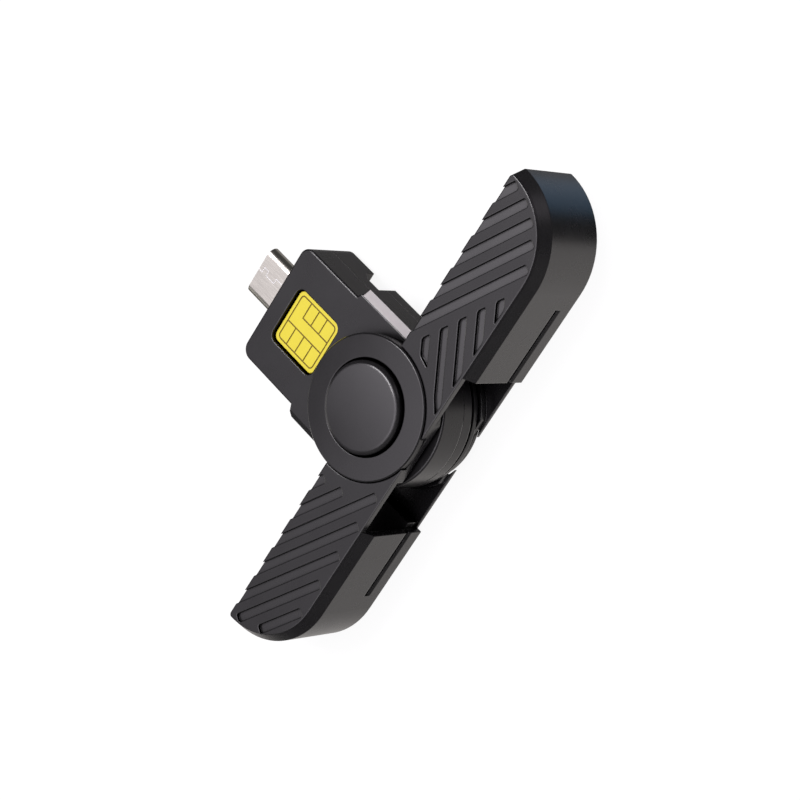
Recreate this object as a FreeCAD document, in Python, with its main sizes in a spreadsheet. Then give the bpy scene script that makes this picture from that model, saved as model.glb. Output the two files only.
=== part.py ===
import FreeCAD
import Part
import Sketcher
import math
import operator
import os

# A folding smart card reader: a long casing with a card slot, and a plug module that swivels in its middle.
# The frame: +X along the casing, +Y towards the plug, +Z out of the front face.
# The origin is on the swivel axis, in the plane of the casing's back. All sizes are in millimetres.

SIZES = {
    # casing
    "case_half_length": 42.65,
    "case_width": 12.4,
    "case_height": 13.4,
    "open_edge": 0.55,
    "case_wall": 1.1,
    "plate_thickness": 1.15,
    "chamfer_width": 1.2,
    "chamfer_height": 2.05,
    "tip_round": 0.5,
    "cut_gap_left": 2.6,
    "cut_gap_right": 2.05,
    "slot_half_length": 27.4,
    "slot_floor": 2.85,
    "slot_height": 0.85,
    "lead_height": 0.55,
    "lead_depth": 0.2,
    # grooves of the front plate
    "groove_width": 1.4,
    "groove_depth": 0.45,
    "groove_pitch": 5.7,
    "groove_angle": 30.0,
    "groove_steep_angle": 32.5,
    "groove_inset": 0.58,
    "groove_side_inset": 0.95,
    "groove_corner": 0.25,
    "groove_right_start": 15.9,
    "groove_left_start": 14.05,
    "groove_steep_start": 1.9,
    "groove_steep_inset": 0.42,
    "groove_divide": 4.5,
    "groove_land_right": 1.4,
    "groove_land_left": 2.05,
    # swivel
    "hub_breakout": 0.35,
    "disc_gap": 0.15,
    "neck_radius": 8.04,
    "running_gap": 0.06,
    "axial_gap": 0.25,
    "flange_overlap": 0.9,
    "flange_thickness": 1.25,
    "flange_inset": 0.35,
    "disc_thickness": 1.2,
    "disc_bevel": 0.2,
    "cap_radius": 6.9,
    "cap_height": 2.1,
    "cap_bevel": 0.45,
    "cap_gap": 0.4,
    "cap_seat_depth": 1.1,
    "cap_skirt": 0.9,
    # back cover
    "cover_thickness": 0.55,
    "cover_fit": 0.05,
    "cover_breakout": 0.5,
    "bay_lip": 0.35,
    "dish_width": 0.8,
    "dish_height": 1.7,
    "rear_ring_thickness": 0.65,
    "rear_ring_inset": 0.6,
    "floor_setback": 0.95,
    "floor_end_gap": 0.4,
    "rear_disc_gap": 0.35,
    "rear_disc_lift": 0.05,
    # module
    "module_gap": 0.4,
    "back_shell_height": 2.0,
    "fold_gap": 0.5,
    "hub_proud": 0.25,
    "module_reach": 25.65,
    "corner_radius": 1.8,
    "jog_rise": 0.15,
    "jog_length": 0.85,
    "module_wall": 1.2,
    "module_face": 1.5,
    "centre_boss_share": 0.7,
    "face_bevel": 0.2,
    "bevel_width": 1.1,
    "bevel_height": 0.85,
    "guide_width": 0.9,
    "guide_start": 0.6,
    "mouth_height": 0.9,
    "mouth_roof": 1.0,
    "block_bottom": 0.85,
    "stop_depth": 6.8,
    "stop_height": 1.75,
    "stop_slope": 1.55,
    # contact inlay
    "inlay_width": 9.3,
    "inlay_length": 9.55,
    "inlay_setback": 8.0,
    "inlay_aside": 0.15,
    "inlay_corner": 1.1,
    "inlay_gap": 0.2,
    "inlay_thickness": 0.5,
    "inlay_sink": 0.6,
    "inlay_bevel": 0.12,
    "line_width": 0.22,
    "line_depth": 0.1,
    "line_inset": 0.72,
    "line_corner": 0.6,
    "line_left": 0.85,
    "line_right": 1.15,
    "line_left_pitch": 2.05,
    "line_right_pitch": 1.93,
    # card tray
    "tray_inset": 0.3,
    "tray_thickness": 0.95,
    "tray_neck": 5.5,
    "tray_setback": 3.15,
    "tray_fit": 0.05,
    # plug
    "plug_width": 8.25,
    "plug_height": 2.4,
    "plug_wall": 0.25,
    "plug_length": 7.2,
    "plug_sunk": 5.25,
    "plug_lift": 0.5,
    "plug_fit": 0.04,
    "plug_mouth_width": 6.7,
    "plug_mouth_height": 0.75,
    "plug_mouth_depth": 5.0,
    "plug_contact_pitch": 0.5,
    "plug_contact_width": 0.26,
    "plug_contact_length": 4.0,
    "plug_contact_thickness": 0.12,
    "seam_x": 0.2,
    "seam_step": 0.85,
    "seam_lead": 0.8,
    "seam_tooth": 0.95,
    "seam_pause": 2.0,
    "seam_width": 0.12,
    "seam_depth": 0.06,
    # circuit board and what is on it
    "board_thickness": 0.8,
    "board_gap": 1.25,
    "board_post_radius": 0.9,
    "board_post_inset": 2.2,
    "board_post_rear": 3.4,
    "chip_size": 5.0,
    "chip_height": 0.9,
    "chip_setback": 4.9,
    "crystal_length": 3.2,
    "crystal_width": 2.5,
    "crystal_height": 0.8,
    "crystal_x": 5.2,
    "crystal_setback": 8.9,
    "capacitor_length": 1.0,
    "capacitor_width": 0.5,
    "capacitor_pitch": 1.6,
    "capacitor_x": 5.0,
    "led_length": 1.6,
    "led_width": 0.8,
    "led_height": 0.7,
    "led_inset": 0.8,
    # card contacts
    "contact_y": 3.8,
    "contact_block_width": 12.0,
    "contact_block_length": 10.0,
    "contact_block_fit": 0.1,
    "contact_block_lift": 0.1,
    "spring_pitch": 2.54,
    "spring_row": 3.81,
    "spring_width": 1.0,
    "spring_length": 3.0,
    "spring_thickness": 0.15,
    "spring_drop": 0.45,
    # screws
    "screw_shank": 0.6,
    "screw_head": 1.15,
    "screw_head_height": 0.8,
    "screw_fit": 0.1,
    "screw_sink": 0.3,
    "boss_radius": 1.7,
    "boss_inset": 3.9,
    "boss_seat": 0.65,
    "boss_land": 0.45,
    "case_screw_length": 6.0,
    "shell_screw_length": 7.4,
    "shell_boss_radius": 1.6,
    "shell_screw_inset": 2.45,
    "shell_screw_setback": 3.05,
    "tray_screw_length": 3.6,
    "centre_shank": 1.0,
    "centre_head": 2.1,
    "flat_head_height": 0.45,
    "pivot_screw_length": 4.8,
    "rear_screw_length": 2.3,
}

GROOVES_RIGHT = 5
GROOVES_LEFT = 7
BOSS_ANGLE = math.radians(55)
CONTACTS_PER_ROW = 12
CAPACITORS = 6
SPRINGS_PER_ROW = 4
NEAR = 1e-4

doc = FreeCAD.newDocument("CardReader")
sheet = doc.addObject("Spreadsheet::Sheet", "Sizes")


class Size:
    """A number of the sheet, or one worked out from it, together with the expression that gives it."""

    def __init__(self, value, text):
        self.value = value
        self.text = text

    def __add__(self, other):
        return combine(self, "+", other)

    def __radd__(self, other):
        return combine(other, "+", self)

    def __sub__(self, other):
        return combine(self, "-", other)

    def __rsub__(self, other):
        return combine(other, "-", self)

    def __mul__(self, other):
        return combine(self, "*", other)

    def __rmul__(self, other):
        return combine(other, "*", self)

    def __truediv__(self, other):
        return combine(self, "/", other)

    def __neg__(self):
        return combine(0, "-", self)


OPERATIONS = {"+": operator.add, "-": operator.sub, "*": operator.mul, "/": operator.truediv}


def as_size(number):
    """Wraps a plain number, so that it can stand in an expression."""
    if isinstance(number, Size):
        return number
    return Size(float(number), repr(float(number)))


def combine(first, sign, second):
    first = as_size(first)
    second = as_size(second)
    return Size(OPERATIONS[sign](first.value, second.value), f"({first.text} {sign} {second.text})")


def root(number):
    return Size(math.sqrt(number.value), f"sqrt({number.text})")


def leg(long_side, short_side):
    """The other short side of a right triangle."""
    return root(long_side * long_side - short_side * short_side)


def tangent(angle):
    return Size(math.tan(math.radians(angle.value)), f"tan({angle.text} * 1 deg)")


def sine(angle):
    return Size(math.sin(math.radians(angle.value)), f"sin({angle.text} * 1 deg)")


def larger(first, second):
    first = as_size(first)
    second = as_size(second)
    return Size(max(first.value, second.value), f"max({first.text}; {second.text})")


def smaller(first, second):
    first = as_size(first)
    second = as_size(second)
    return Size(min(first.value, second.value), f"min({first.text}; {second.text})")


class Names:
    """The sheet's sizes by name."""


S = Names()
for row, (alias, number) in enumerate(SIZES.items(), start=1):
    sheet.set(f"A{row}", alias)
    sheet.set(f"B{row}", str(number))
    sheet.setAlias(f"B{row}", alias)
    setattr(S, alias, Size(number, f"Sizes.{alias}"))
doc.recompute()

# casing: places that follow from the driving sizes
side = S.case_width - S.open_edge
rim = side - S.chamfer_width
end_centre = S.case_half_length - S.case_width
plate_under = S.case_height - S.plate_thickness
flange_bottom = plate_under - S.flange_thickness
overshoot = S.case_wall * 2

# swivel
hub_hole = rim + S.hub_breakout
disc_radius = hub_hole - S.disc_gap
disc_bottom = plate_under + S.axial_gap
disc_top = disc_bottom + S.disc_thickness
cap_seat = disc_top - S.cap_seat_depth
bore = S.neck_radius + S.running_gap

# back cover
cover_side = side - S.case_wall - S.cover_fit
cover_hole = hub_hole + S.cover_breakout
dish_radius = cover_hole + S.dish_width
rear_ring_bottom = S.dish_height - S.rear_ring_thickness
rear_disc_radius = cover_hole - S.rear_disc_gap
rear_disc_top = rear_ring_bottom - S.axial_gap
cover_boss_top = S.rear_disc_lift + S.screw_head_height + S.boss_seat

# module
hub_radius = side + S.hub_proud
module_half = side - S.case_wall - S.fold_gap
module_top = flange_bottom - S.module_gap
mouth_floor = S.slot_floor + S.tray_fit
mouth_top = mouth_floor + S.mouth_height
floor_top = mouth_top + S.mouth_roof
module_split = mouth_top + S.back_shell_height
cavity_top = module_top - S.module_face
jog_low = hub_radius + S.jog_rise
jog_high = jog_low + S.jog_length
stop_face = S.module_reach - S.stop_depth
cut_left = hub_radius + S.cut_gap_left
cut_right = hub_radius + S.cut_gap_right
tray_bottom = mouth_floor - S.tray_thickness
tray_end = S.module_reach - S.tray_setback
inlay_top = module_top - S.inlay_sink
inlay_y = S.module_reach - S.inlay_setback

# plug and board
plug_centre = module_split + S.plug_lift
plug_tip = S.module_reach + S.plug_length
plug_tail = S.module_reach - S.plug_sunk
board_bottom = plug_centre - S.board_thickness / 2
board_top = board_bottom + S.board_thickness
board_half = module_half - S.module_wall - S.board_gap
chip_y = plug_tail - S.chip_setback
crystal_y = plug_tail - S.crystal_setback
led_y = (S.guide_start + jog_low) / 2
contact_bottom = mouth_top + S.contact_block_lift

# screws
screw_hole = S.screw_shank + S.screw_fit
head_hole = S.screw_head + S.screw_fit
centre_hole = S.centre_shank + S.screw_fit
shell_screw_face = S.block_bottom + S.screw_sink

ORIGIN = (0, 0)


def mirrored(x, y):
    return [(x, y), (-x, y)]


boss_reach = S.case_width - S.boss_inset
case_bosses = mirrored(end_centre + boss_reach * math.cos(BOSS_ANGLE),
                       S.open_edge - boss_reach * math.sin(BOSS_ANGLE))
shell_screw_places = mirrored(module_half - S.shell_screw_inset, S.module_reach - S.shell_screw_setback)
tray_screw_place = (0, (stop_face + tray_end) / 2)
board_posts = mirrored(board_half - S.board_post_inset, -S.board_post_rear)


def bind(thing, prop, size):
    """Ties a property to the sheet."""
    thing.setExpression(prop, as_size(size).text)


def new_body(label):
    body = doc.addObject("PartDesign::Body", label)
    body.Label = label
    return body


def new_sketch(body, height=0, role="XY_Plane"):
    """A sketch on one of the body's own planes, raised along that plane's normal."""
    sketch = body.newObject("Sketcher::SketchObject", body.Name + "_sketch")
    plane = [item for item in body.Origin.OriginFeatures if item.Role == role][0]
    sketch.AttachmentSupport = [(plane, "")]
    sketch.MapMode = "FlatFace"
    bind(sketch, "AttachmentOffset.Base.z", height)
    return sketch


def vector(place):
    return FreeCAD.Vector(as_size(place[0]).value, as_size(place[1]).value, 0)


def fix(sketch, kind, geometry, point, size):
    """Holds one coordinate of a point, on the axis itself where that coordinate is a plain nought."""
    if not isinstance(size, Size):
        axis = -2 if kind == "DistanceX" else -1
        sketch.addConstraint(Sketcher.Constraint("PointOnObject", geometry, point, axis))
        return
    index = sketch.addConstraint(Sketcher.Constraint(kind, geometry, point, size.value))
    sketch.setExpression(f"Constraints[{index}]", size.text)


def fix_radius(sketch, geometry, radius):
    index = sketch.addConstraint(Sketcher.Constraint("Radius", geometry, radius.value))
    sketch.setExpression(f"Constraints[{index}]", radius.text)


def circle(sketch, place, radius):
    curve = Part.Circle(vector(place), FreeCAD.Vector(0, 0, 1), radius.value)
    index = sketch.addGeometry(curve, False)
    fix(sketch, "DistanceX", index, 3, place[0])
    fix(sketch, "DistanceY", index, 3, place[1])
    fix_radius(sketch, index, radius)


def add_run(sketch, before, corner):
    """One side of an outline: returns its index and which of its ends come first and last."""
    after = vector(corner)
    if len(corner) == 2:
        return sketch.addGeometry(Part.LineSegment(before, after), False), 1, 2
    centre = vector(corner[2])
    ring = Part.Circle(centre, FreeCAD.Vector(0, 0, 1), corner[3].value)
    leftwards = corner[4] == "left"
    ends = (before, after) if leftwards else (after, before)
    angles = [math.atan2(end.y - centre.y, end.x - centre.x) for end in ends]
    index = sketch.addGeometry(Part.ArcOfCircle(ring, angles[0], angles[1]), False)
    return (index, 1, 2) if leftwards else (index, 2, 1)


def outline(sketch, *corners):
    """A closed outline. A corner is (x, y), or (x, y, centre, radius, turn) where an arc leads to it."""
    runs = []
    for number, corner in enumerate(corners):
        runs.append(add_run(sketch, vector(corners[number - 1]), corner))
    for number, corner in enumerate(corners):
        index, _, tip = runs[number]
        following, tail, _ = runs[(number + 1) % len(runs)]
        sketch.addConstraint(Sketcher.Constraint("Coincident", index, tip, following, tail))
        fix(sketch, "DistanceX", index, tip, corner[0])
        fix(sketch, "DistanceY", index, tip, corner[1])
        if len(corner) > 2:
            fix_radius(sketch, index, corner[3])


def box_outline(sketch, left, right, low, high):
    outline(sketch, (left, low), (right, low), (right, high), (left, high))


def round_box(sketch, middle_x, middle_y, half_x, half_y, corner):
    """A rectangle with rounded corners."""
    left = middle_x - half_x
    right = middle_x + half_x
    low = middle_y - half_y
    high = middle_y + half_y
    outline(
        sketch,
        (right, high - corner),
        (right - corner, high, (right - corner, high - corner), corner, "left"),
        (left + corner, high),
        (left, high - corner, (left + corner, high - corner), corner, "left"),
        (left, low + corner),
        (left + corner, low, (left + corner, low + corner), corner, "left"),
        (right - corner, low),
        (right, low + corner, (right - corner, low + corner), corner, "left"),
    )


def extrude(kind, body, sketch, length, reverse, symmetric):
    feature = body.newObject("PartDesign::" + kind, body.Name + "_" + kind.lower())
    feature.Profile = sketch
    bind(feature, "Length", length)
    feature.Reversed = reverse
    if symmetric:
        feature.SideType = "Symmetric"
    doc.recompute()
    return feature


def pad(body, sketch, length, reverse=False, symmetric=False):
    return extrude("Pad", body, sketch, length, reverse, symmetric)


def pocket(body, sketch, length, reverse=False, symmetric=False):
    """Cuts downwards from the sketch, or upwards with reverse, and makes sure that something was cut."""
    before = body.Shape.Volume
    feature = extrude("Pocket", body, sketch, length, reverse, symmetric)
    if not feature.Shape.Volume < before:
        raise ValueError(feature.Name + " cuts nothing")
    return feature


def drill(body, places, radius, low, high):
    """Round holes at several places between two heights."""
    sketch = new_sketch(body, high)
    for place in places:
        circle(sketch, place, radius)
    pocket(body, sketch, high - low)


def posts(body, places, radius, low, high):
    """Round posts at several places between two heights."""
    sketch = new_sketch(body, low)
    for place in places:
        circle(sketch, place, radius)
    pad(body, sketch, high - low)


def edges_at(body, height, below=math.inf):
    """Names of the body's edges that lie at one height, with their middle below one Y."""
    names = []
    for number, edge in enumerate(body.Shape.Edges, start=1):
        box = edge.BoundBox
        flat = max(abs(box.ZMin - height.value), abs(box.ZMax - height.value)) < NEAR
        if flat and edge.CenterOfMass.y < below:
            names.append(f"Edge{number}")
    return names


def bevel(body, edges, size):
    """Chamfers edges of the body's latest feature."""
    base = body.Tip
    chamfer = body.newObject("PartDesign::Chamfer", body.Name + "_bevel")
    chamfer.Base = (base, edges)
    bind(chamfer, "Size", size)
    doc.recompute()
    return chamfer


def block(name, left, right, near, far, low, high):
    """A plain box between six planes."""
    box = doc.addObject("Part::Box", name)
    bind(box, "Length", right - left)
    bind(box, "Width", far - near)
    bind(box, "Height", high - low)
    bind(box, "Placement.Base.x", left)
    bind(box, "Placement.Base.y", near)
    bind(box, "Placement.Base.z", low)
    return box


def cylinder(name, place, radius, low, high):
    rod = doc.addObject("Part::Cylinder", name)
    bind(rod, "Radius", radius)
    bind(rod, "Height", high - low)
    bind(rod, "Placement.Base.x", place[0])
    bind(rod, "Placement.Base.y", place[1])
    bind(rod, "Placement.Base.z", low)
    return rod


def fused(label, things):
    whole = doc.addObject("Part::MultiFuse", label)
    whole.Label = label
    whole.Shapes = things
    return whole


def gathered(label, things):
    """A set of separate solids under one label."""
    whole = doc.addObject("Part::Compound", label)
    whole.Label = label
    whole.Links = things
    return whole


def screw(name, place, shank, head, face, neck, tip):
    """A head between its outer face and its neck, and a shank from the neck to the tip."""
    low_head = smaller(face, neck)
    low_shank = smaller(neck, tip)
    head_rod = cylinder(name + "_head", place, head, low_head, larger(face, neck))
    shank_rod = cylinder(name + "_shank", place, shank, low_shank, larger(neck, tip))
    return fused(name, [head_rod, shank_rod])


def small_screw(name, place, face, length):
    """A small screw that points upwards from the outer face of its head."""
    return screw(name, place, S.screw_shank, S.screw_head, face, face + S.screw_head_height, face + length)


def small_screws(label, places, face, length):
    """Identical small screws under one label."""
    return gathered(label, [small_screw(f"{label}_{number}", place, face, length)
                            for number, place in enumerate(places)])


def case_outline(sketch, inset, beyond=None):
    """The casing's D: a straight open side, a straight wall and a quarter round at each end."""
    long_half = S.case_half_length - inset
    radius = S.case_width - inset
    wall = side - inset
    right = (end_centre, S.open_edge)
    left = (-end_centre, S.open_edge)
    corners = [
        (long_half, S.open_edge),
        (end_centre, -wall, right, radius, "right"),
        (-end_centre, -wall),
        (-long_half, S.open_edge, left, radius, "right"),
    ]
    if beyond is not None:
        corners = corners + [(-long_half, beyond), (long_half, beyond)]
    outline(sketch, *corners)


def falling_bar(crossing, start, end):
    """Corners of a straight groove that falls to the right through (crossing, 0), between two distances."""
    lean = sine(S.groove_angle)
    straight = root(1 - lean * lean)
    side_x = S.groove_width / 2 * lean
    side_y = S.groove_width / 2 * straight
    near = (crossing + start * straight, -start * lean)
    far = (crossing + end * straight, -end * lean)
    return [
        (near[0] - side_x, near[1] - side_y),
        (far[0] - side_x, far[1] - side_y),
        (far[0] + side_x, far[1] + side_y),
        (near[0] + side_x, near[1] + side_y),
    ]


def meet(crossing, centre, radius, sign):
    """Distance along a falling groove at which it meets a circle, on the near or the far side of it."""
    lean = sine(S.groove_angle)
    straight = root(1 - lean * lean)
    across = centre[0] - crossing
    along = across * straight - centre[1] * lean
    aside = across * lean + centre[1] * straight
    return along + sign * root(larger(0, radius * radius - aside * aside))


def rising_edge(foot, lowest, hub_clear):
    """The lower and upper end of one long edge of a rising groove, whose line starts at (foot, lowest)."""
    lean = sine(S.groove_steep_angle)
    straight = root(1 - lean * lean)
    rise = tangent(S.groove_steep_angle)
    fall = tangent(S.groove_angle)
    divide = S.groove_right_start - S.groove_divide
    along = foot * straight + lowest * lean
    outside = foot * foot + lowest * lowest - hub_clear * hub_clear
    start = larger(0, root(larger(0, along * along - outside)) - along)
    top_x = (divide * fall - lowest + foot * rise) / (fall + rise)
    return (foot + start * straight, lowest + start * lean), (top_x, (divide - top_x) * fall)


def rising_bar(number):
    """Corners of a groove that rises to the right, kept off the rim, the hub and the falling grooves."""
    lowest = -(rim - S.groove_steep_inset)
    hub_clear = hub_hole + S.groove_land_right
    middle = S.groove_steep_start + S.groove_pitch * number
    half = S.groove_width / sine(S.groove_steep_angle) / 2
    left = rising_edge(middle - half, lowest, hub_clear)
    right = rising_edge(middle + half, lowest, hub_clear)
    corners = [right[0], right[1], left[1], left[0]]
    if number == 1:
        corners.append((leg(hub_clear, lowest), lowest))
    return corners


def has_room(start, end):
    """Whether a groove is longer than it is wide: a shorter casing carries fewer of them."""
    return (end - start).value > S.groove_width.value


def cut_grooves(body):
    """The grooves of the front plate: two falling families and a rising one, with eased corners."""
    lean = sine(S.groove_angle)
    run_out = -(S.open_edge + S.groove_width) / lean
    end_radius = S.case_width - S.chamfer_width - S.groove_inset
    hub_end = hub_hole + S.groove_land_left
    side_end = (rim - S.groove_side_inset) / lean
    sketch = new_sketch(body, S.case_height)
    for number in range(GROOVES_RIGHT):
        crossing = S.groove_right_start + S.groove_pitch * number
        end = meet(crossing, (end_centre, S.open_edge), end_radius, 1)
        if has_room(-S.open_edge / lean, end):
            outline(sketch, *falling_bar(crossing, run_out, end))
        outline(sketch, *rising_bar(number))
    for number in range(GROOVES_LEFT):
        crossing = -S.groove_left_start - S.groove_pitch * number
        start = larger(run_out, meet(crossing, (-end_centre, S.open_edge), end_radius, -1))
        end = smaller(side_end, meet(crossing, (as_size(0), as_size(0)), hub_end, -1))
        if has_room(start, end):
            outline(sketch, *falling_bar(crossing, start, end))
    pocket(body, sketch, S.groove_depth)
    ease_groove_corners(body)


def ease_groove_corners(body):
    """Takes off the upright edges of the grooves, but not where they run out through the open side."""
    corners = []
    for number, edge in enumerate(body.Shape.Edges, start=1):
        box = edge.BoundBox
        upright = abs(box.ZLength - S.groove_depth.value) < NEAR and box.XLength + box.YLength < NEAR
        if upright and box.YMax < S.open_edge.value - NEAR:
            corners.append(f"Edge{number}")
    bevel(body, corners, S.groove_corner)


def bearing_ring(sketch, wide, narrow, flat):
    """A ring about the swivel neck: wide under the plates, narrow on the open side, flat in the cut-out."""
    outline(
        sketch,
        (leg(wide, S.open_edge), S.open_edge),
        (leg(wide, flat), -flat, ORIGIN, wide, "right"),
        (-leg(wide, flat), -flat),
        (-leg(wide, S.open_edge), S.open_edge, ORIGIN, wide, "right"),
        (-leg(narrow, S.open_edge), S.open_edge),
        (0, narrow, ORIGIN, narrow, "right"),
        (leg(narrow, S.open_edge), S.open_edge, ORIGIN, narrow, "right"),
    )
    circle(sketch, ORIGIN, bore)


def round_tips(body):
    """Rounds the upright and slanted edges of the two tips at the open side."""
    tips = []
    for number, edge in enumerate(body.Shape.Edges, start=1):
        box = edge.BoundBox
        in_open_side = max(abs(box.YMin - S.open_edge.value), abs(box.YMax - S.open_edge.value)) < NEAR
        if in_open_side and box.ZLength > NEAR:
            tips.append(f"Edge{number}")
    base = body.Tip
    fillet = body.newObject("PartDesign::Fillet", "tip_rounding")
    fillet.Base = (base, tips)
    bind(fillet, "Radius", S.tip_round)
    doc.recompute()


def cut_slot(body):
    """The card slot in the side wall, with a sloping lead-in along its lower lip."""
    outside = side + overshoot
    inside = rim - S.case_wall
    slot_top = S.slot_floor + S.slot_height
    slope = S.lead_height / S.lead_depth
    sketch = new_sketch(body, 0, "YZ_Plane")
    outline(
        sketch,
        (-outside, S.slot_floor - (S.lead_depth + overshoot) * slope),
        (S.lead_depth - side, S.slot_floor),
        (-inside, S.slot_floor),
        (-inside, slot_top),
        (-outside, slot_top),
    )
    pocket(body, sketch, S.slot_half_length * 2, symmetric=True)


def casing_shell():
    """The D-shaped casing: front plate with grooves, chamfered rim, card slot, and the swivel bearing."""
    body = new_body("casing_shell")
    sketch = new_sketch(body)
    case_outline(sketch, as_size(0))
    pad(body, sketch, S.case_height)

    rim_edges = edges_at(body, S.case_height, S.open_edge.value - NEAR)
    chamfer = bevel(body, rim_edges, S.chamfer_height)
    chamfer.ChamferType = "Two distances"
    bind(chamfer, "Size2", S.chamfer_width)
    doc.recompute()
    round_tips(body)

    sketch = new_sketch(body)
    case_outline(sketch, S.case_wall, S.open_edge + overshoot)
    pocket(body, sketch, plate_under, reverse=True)

    sketch = new_sketch(body)
    box_outline(sketch, -cut_left, cut_right, -(side + overshoot), -rim)
    pocket(body, sketch, S.case_height, reverse=True)

    drill(body, [ORIGIN], hub_hole, plate_under, S.case_height)
    sketch = new_sketch(body, flange_bottom)
    bearing_ring(sketch, hub_hole + S.flange_overlap, disc_radius - S.flange_inset, rim)
    pad(body, sketch, S.flange_thickness)

    cut_slot(body)
    posts(body, case_bosses, S.boss_radius, cover_boss_top, plate_under)
    screw_tip = S.rear_disc_lift + S.case_screw_length
    drill(body, case_bosses, S.screw_shank, cover_boss_top, screw_tip + S.screw_fit)
    cut_grooves(body)
    return body


def back_cover():
    """The casing's back: a thin plate, the dish and ring of the rear bearing, and the raised card floor."""
    body = new_body("back_cover")
    sketch = new_sketch(body)
    case_outline(sketch, S.case_wall + S.cover_fit)
    pad(body, sketch, S.cover_thickness)
    sketch = new_sketch(body)
    bay_edge = cover_side + S.bay_lip
    box_outline(sketch, S.cover_fit - cut_left, cut_right - S.cover_fit, -bay_edge, S.case_wall - cover_side)
    pad(body, sketch, S.cover_thickness)
    drill(body, [ORIGIN], cover_hole, as_size(0), S.cover_thickness)

    for sign, first, second in ((1, "right", "left"), (-1, "left", "right")):
        sketch = new_sketch(body)
        outline(
            sketch,
            (sign * leg(dish_radius, S.open_edge), S.open_edge),
            (sign * leg(dish_radius, cover_side), -cover_side, ORIGIN, dish_radius, first),
            (sign * leg(cover_hole, cover_side), -cover_side),
            (sign * leg(cover_hole, S.open_edge), S.open_edge, ORIGIN, cover_hole, second),
        )
        pad(body, sketch, S.dish_height)

    sketch = new_sketch(body, rear_ring_bottom)
    bearing_ring(sketch, dish_radius, cover_hole - S.rear_ring_inset, cover_side)
    pad(body, sketch, S.rear_ring_thickness)

    sketch = new_sketch(body)
    floor_end = S.slot_half_length - S.floor_end_gap
    box_outline(sketch, -floor_end, S.floor_setback - cut_left, -cover_side, S.open_edge)
    pad(body, sketch, S.slot_floor)

    posts(body, case_bosses, S.boss_radius + S.boss_land, S.cover_thickness, cover_boss_top)
    drill(body, case_bosses, screw_hole, as_size(0), cover_boss_top)
    drill(body, case_bosses, head_hole, as_size(0), S.rear_disc_lift + S.screw_head_height)
    return body


def block_corners(half, reach, corner):
    """The plug end of the module's outline, from its right side round to its left."""
    return [
        (half, reach - corner),
        (half - corner, reach, (half - corner, reach - corner), corner, "left"),
        (corner - half, reach),
        (-half, reach - corner, (corner - half, reach - corner), corner, "left"),
    ]


def hub_corners(hub, half, low, high):
    """The hub end of the module's outline, from its left jog round to its right one."""
    return [
        (-half, high),
        (-hub, low),
        (-hub, 0),
        (0, -hub, ORIGIN, hub, "left"),
        (hub, 0, ORIGIN, hub, "left"),
        (hub, low),
        (half, high),
    ]


def module_outline(sketch, inset):
    """The module seen from the front: a round hub end, a jog, and the narrower block at the plug."""
    half = module_half - inset
    corner = S.corner_radius - inset / 2
    corners = hub_corners(hub_radius - inset, half, jog_low - inset, jog_high - inset)
    outline(sketch, *corners, *block_corners(half, S.module_reach - inset, corner))


def plug_outline(sketch, grow):
    """The plug's section, a slot with round ends, in the upright plane across the module."""
    half = S.plug_width / 2 + grow
    radius = S.plug_height / 2 + grow
    flat = half - radius
    middle = plug_centre
    outline(
        sketch,
        (-flat, middle + radius),
        (-half, middle, (-flat, middle), radius, "left"),
        (-flat, middle - radius, (-flat, middle), radius, "left"),
        (flat, middle - radius),
        (half, middle, (flat, middle), radius, "left"),
        (flat, middle + radius, (flat, middle), radius, "left"),
    )


def plug_channel(body):
    """The passage for the plug through the module's end wall."""
    outside = S.module_reach + overshoot
    sketch = new_sketch(body, -outside, "XZ_Plane")
    plug_outline(sketch, S.plug_fit)
    pocket(body, sketch, outside - plug_tail, reverse=True)


def guide_outline(sketch):
    """The light guide's section: a bar whose outer side is the module's bevel."""
    slope = root(S.bevel_width * S.bevel_width + S.bevel_height * S.bevel_height)
    in_x = S.guide_width * S.bevel_height / slope
    in_z = S.guide_width * S.bevel_width / slope
    edge_x = hub_radius - S.bevel_width
    edge_z = module_top - S.bevel_height
    outline(sketch, (edge_x, module_top), (edge_x - in_x, module_top - in_z),
            (hub_radius - in_x, edge_z - in_z), (hub_radius, edge_z))


def inlay_outline(sketch, grow):
    """A rounded rectangle on the module's face, in front of the disc."""
    half_x = S.inlay_width / 2 + grow
    half_y = S.inlay_length / 2 + grow
    round_box(sketch, -S.inlay_aside, inlay_y, half_x, half_y, S.inlay_corner + grow)


def bevel_sides(body):
    """Slanted upper edges along both sides of the hub part."""
    inner = hub_radius - S.bevel_width
    outside = hub_radius + overshoot
    drop = module_top - S.bevel_height
    above = module_top + overshoot
    for sign in (1, -1):
        sketch = new_sketch(body, as_size(0), "XZ_Plane")
        outline(sketch, (sign * inner, module_top), (sign * hub_radius, drop), (sign * outside, drop),
                (sign * outside, above), (sign * inner, above))
        pocket(body, sketch, jog_high + overshoot)


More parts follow.
